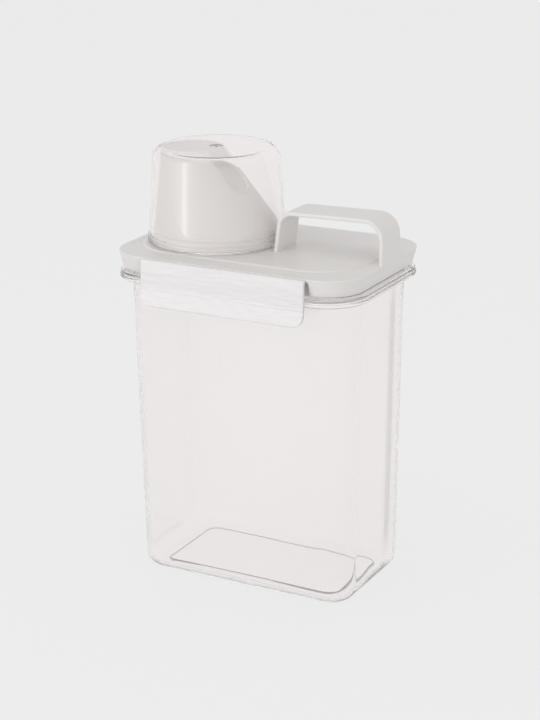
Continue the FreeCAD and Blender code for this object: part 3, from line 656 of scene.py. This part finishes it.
def let_lamps_through(tree, shader, passed):
    """Clear plastic lets lamp light pass: for shadow and diffuse rays the surface is transparent,
    with the given share of light passed at each face."""
    link = tree.links.new
    path = tree.nodes.new("ShaderNodeLightPath")
    last = shader
    for ray_kind in ("Is Diffuse Ray", "Is Shadow Ray"):
        clear = node(tree, "ShaderNodeBsdfTransparent", Color=(passed, passed, passed, 1))
        mix = tree.nodes.new("ShaderNodeMixShader")
        link(path.outputs[ray_kind], mix.inputs[0])
        link(last.outputs[0], mix.inputs[1])
        link(clear.outputs[0], mix.inputs[2])
        last = mix
    link(last.outputs[0], tree.nodes["Material Output"].inputs["Surface"])


# the lid's emission is a painted glow, set only inside the funnel by the attribute above
tree, shader = finish("white_pp", lid, (0.85, 0.83, 0.815), Grain_Scale=1600.0, Grain=0.2,
                      Wave_Scale=22.0, Wave=0.1, Roughness=0.34, Spread=0.1, IOR=1.49,
                      Emission_Strength=0.12)
glow_lookup = tree.nodes.new("ShaderNodeAttribute")
glow_lookup.attribute_name = "painted_funnel_glow"
tree.links.new(glow_lookup.outputs["Color"], shader.inputs["Emission Color"])
# the latches' white is a little lighter than the lid's: painted light for their faces turned to the front
# lamp
for flap in (front_latch, back_latch):
    finish("latch_pp_" + flap.name, flap, (0.88, 0.866, 0.869), Grain_Scale=900.0, Grain=1.0,
           Wave_Scale=330.0, Wave=0.75, Roughness=0.42, Spread=0.3, Stretch=(0.24, 1, 1), IOR=1.49)
finish("silicone_grey", seal, (0.72, 0.72, 0.72), Grain_Scale=1200.0, Grain=0.2, Wave=0.05,
       Roughness=0.6, Spread=0.1, IOR=1.41)
# the clear pieces: colour, a faint pink painted glow that makes them a little brighter than what shows
# through them, and lamp light passed at each face
for clear_piece, clear, painted_glow, passed in ((tub, (0.99, 0.972, 0.972), 0.022, 0.94),
                                           (cup, (1, 0.98, 0.975), 0.026, 0.93)):
    tree, shader = finish("clear_" + clear_piece.name, clear_piece, clear, Grain=0.0,
                          Wave_Scale=9.0, Wave=0.0, Roughness=0.02, Spread=0.02, IOR=1.5,
                          Transmission_Weight=0.94,
                          Emission_Color=(1, 0.93, 0.93, 1), Emission_Strength=painted_glow)
    let_lamps_through(tree, shader, passed)
    absorbed = node(tree, "ShaderNodeVolumeAbsorption", Color=(0.5, 0.47, 0.46, 1), Density=20.0)
    tree.links.new(absorbed.outputs["Volume"], tree.nodes["Material Output"].inputs["Volume"])


# ---------------------------------------------------------------- studio
# Pale seamless floor and surround, the same from every side, with a tall soft lamp at the front
# left, a weaker one at the front right and a small one overhead.
BACKDROP = 0.831
LIT_SHARE = 0.15                    # share of the floor's colour that comes from light on it
FLOOR_COLOUR = 0.8
SURROUND = 0.63                     # strength of the even light on the object
LAMPS_ON_FLOOR = 1.06               # lamps and surround on the floor, against the surround alone


def seen_rays(tree, most):
    """The given most for rays from the camera, from glossy faces and through clear plastic, else 0."""
    path = tree.nodes.new("ShaderNodeLightPath")
    total = path.outputs["Is Camera Ray"]
    for other in ("Is Glossy Ray", "Is Transmission Ray"):
        more = tree.nodes.new("ShaderNodeMath")
        more.operation = "MAXIMUM"
        tree.links.new(total, more.inputs[0])
        tree.links.new(path.outputs[other], more.inputs[1])
        total = more.outputs[0]
    scaled = tree.nodes.new("ShaderNodeMath")
    scaled.operation = "MULTIPLY"
    scaled.inputs[1].default_value = most
    tree.links.new(total, scaled.inputs[0])
    return scaled.outputs[0]


floor_mesh = bpy.data.meshes.new("floor")
floor_mesh.from_pydata([(-15, -15, 0), (15, -15, 0), (15, 15, 0), (-15, 15, 0)], [], [(0, 1, 2, 3)])
floor = bpy.data.objects.new("floor", floor_mesh)
bpy.context.scene.collection.objects.link(floor)
floor.location.z = -0.0002
floor_material = bpy.data.materials.new("floor")
floor_material.use_nodes = True
tree = floor_material.node_tree
cover = tree.nodes["Principled BSDF"]
cover.inputs["Base Color"].default_value = (FLOOR_COLOUR, FLOOR_COLOUR, FLOOR_COLOUR, 1)
cover.inputs["Roughness"].default_value = 0.9
cover.inputs["Specular IOR Level"].default_value = 0.0
own_light = (BACKDROP - LIT_SHARE * FLOOR_COLOUR * SURROUND * LAMPS_ON_FLOOR) / (1 - LIT_SHARE)
pale = node(tree, "ShaderNodeEmission", Color=(1, 1, 1, 1), Strength=own_light)
mix = tree.nodes.new("ShaderNodeMixShader")
tree.links.new(seen_rays(tree, 1 - LIT_SHARE), mix.inputs[0])
tree.links.new(cover.outputs[0], mix.inputs[1])
tree.links.new(pale.outputs[0], mix.inputs[2])
tree.links.new(mix.outputs[0], tree.nodes["Material Output"].inputs["Surface"])
floor_mesh.materials.append(floor_material)

world = bpy.data.worlds.new("surround")
bpy.context.scene.world = world
world.use_nodes = True
tree = world.node_tree
tree.nodes.clear()
seen = node(tree, "ShaderNodeBackground", Color=(1, 1, 1, 1), Strength=BACKDROP)
lit = node(tree, "ShaderNodeBackground", Color=(1, 0.99, 0.985, 1), Strength=SURROUND)
mix = tree.nodes.new("ShaderNodeMixShader")
out = tree.nodes.new("ShaderNodeOutputWorld")
tree.links.new(seen_rays(tree, 1), mix.inputs[0])
tree.links.new(lit.outputs[0], mix.inputs[1])
tree.links.new(seen.outputs[0], mix.inputs[2])
tree.links.new(mix.outputs[0], out.inputs[0])


def lamp(name, place, size, power):
    """Soft rectangular lamp aimed at the middle of the object."""
    data = bpy.data.lights.new(name, "AREA")
    data.shape = "RECTANGLE"
    data.size, data.size_y = size
    data.energy = power
    made = bpy.data.objects.new(name, data)
    bpy.context.scene.collection.objects.link(made)
    aim = np.array([0, 0, 0.13]) - np.array(place)
    made.location = place
    made.rotation_euler = [np.arctan2(np.hypot(aim[0], aim[1]), -aim[2]), 0, np.arctan2(-aim[0], aim[1])]
    return made


key = lamp("front_strip", (-0.68, -1.26, 0.42), (1.6, 1.1), 19.0)
key.data.use_nodes = True
tree = key.data.node_tree
place = tree.nodes.new("ShaderNodeNewGeometry")
parts = tree.nodes.new("ShaderNodeSeparateXYZ")
ramp = tree.nodes.new("ShaderNodeFloatCurve")
curve = ramp.mapping.curves[0]
curve.points[0].location, curve.points[1].location = (0, 0), (1, 0)
for stop in ((0.2, 0.12), (0.38, 0.35), (0.46, 0.9), (0.5, 1), (0.54, 0.9), (0.62, 0.35), (0.8, 0.12)):
    curve.points.new(*stop)
ramp.mapping.update()
tree.links.new(place.outputs["Parametric"], parts.inputs[0])
tree.links.new(parts.outputs[0], ramp.inputs["Value"])
tree.links.new(ramp.outputs["Value"], tree.nodes["Emission"].inputs["Strength"])
side = lamp("side_soft", (1.25, -0.85, 0.42), (0.6, 1.0), 3.4)
side.visible_glossy = False
side.visible_transmission = False
key.visible_transmission = False
top = lamp("top_soft", (-0.15, -0.35, 1.3), (0.7, 0.5), 1.0)
for made in (key, side, top):
    made.visible_camera = False

# camera: a long lens, from the front right and a little above
AZIMUTH, ELEVATION, ROLL = np.radians([28.53, 18.22, -0.52])
DISTANCE, AIM_SIDE, AIM_HEIGHT = 1.1668, 0.0006, 0.1381
toward = np.array([np.sin(AZIMUTH) * np.cos(ELEVATION), -np.cos(AZIMUTH) * np.cos(ELEVATION),
                   np.sin(ELEVATION)])
right = np.array([np.cos(AZIMUTH), np.sin(AZIMUTH), 0])
up = np.cross(toward, right)
turned_right = right * np.cos(ROLL) + up * np.sin(ROLL)
turned_up = up * np.cos(ROLL) - right * np.sin(ROLL)
lens = bpy.data.cameras.new("camera")
lens.lens = 93.35
lens.sensor_width = 36
camera = bpy.data.objects.new("camera", lens)
bpy.context.scene.collection.objects.link(camera)
pose = np.eye(4)
pose[:3, :3] = np.column_stack([turned_right, turned_up, toward])
pose[:3, 3] = np.array([0, 0, AIM_HEIGHT]) + right * AIM_SIDE + toward * DISTANCE
camera.matrix_world = Matrix(pose.tolist())
bpy.context.scene.camera = camera
bpy.context.scene.view_settings.view_transform = "Standard"
